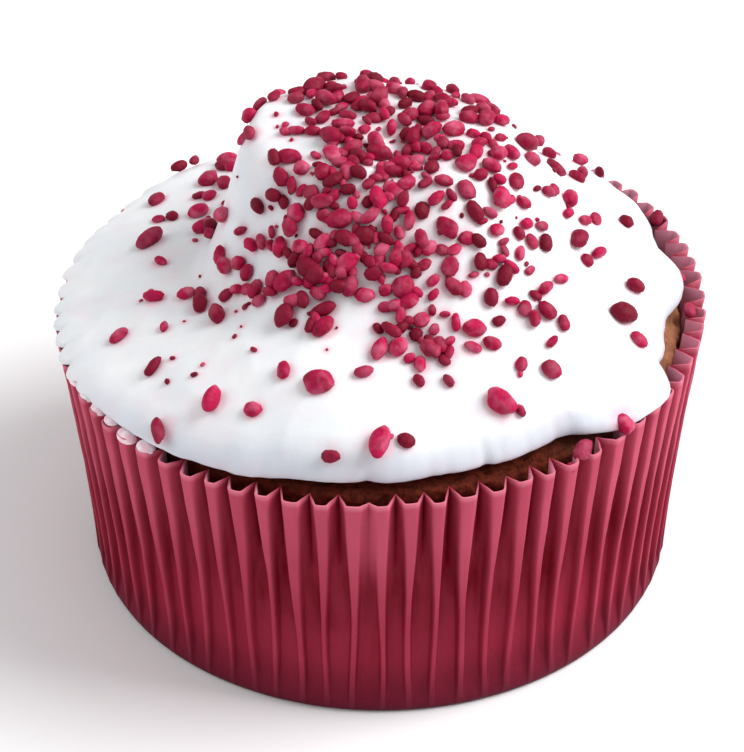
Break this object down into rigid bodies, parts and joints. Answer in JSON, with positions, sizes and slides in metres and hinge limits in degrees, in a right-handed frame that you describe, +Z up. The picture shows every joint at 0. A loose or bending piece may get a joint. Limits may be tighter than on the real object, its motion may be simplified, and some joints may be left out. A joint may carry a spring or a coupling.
{
  "type": "iced muffin",
  "caption": "Round dark muffin in a pleated crimson paper case, with spooned white icing and freeze-dried raspberry bits on top.",
  "frame": {"origin": "centre of the paper case's base, on the surface that the muffin stands on", "axes": "+Z up; -Y towards the side where the cake shows below the icing; -X towards the side where the icing runs out over the rim"},
  "size_m": [0.0682, 0.0682, 0.0523],
  "materials": {
    "paper_case": "crimson greaseproof paper, slightly waxy",
    "cake": "dark crumb, matt",
    "icing": "white sugar icing, soft sheen, with crimson raspberry bits"
  },
  "bodies": {
    "root": {"paper_case": "paper_case", "cake": "cake", "icing": "icing"}
  },
  "joints": []
}
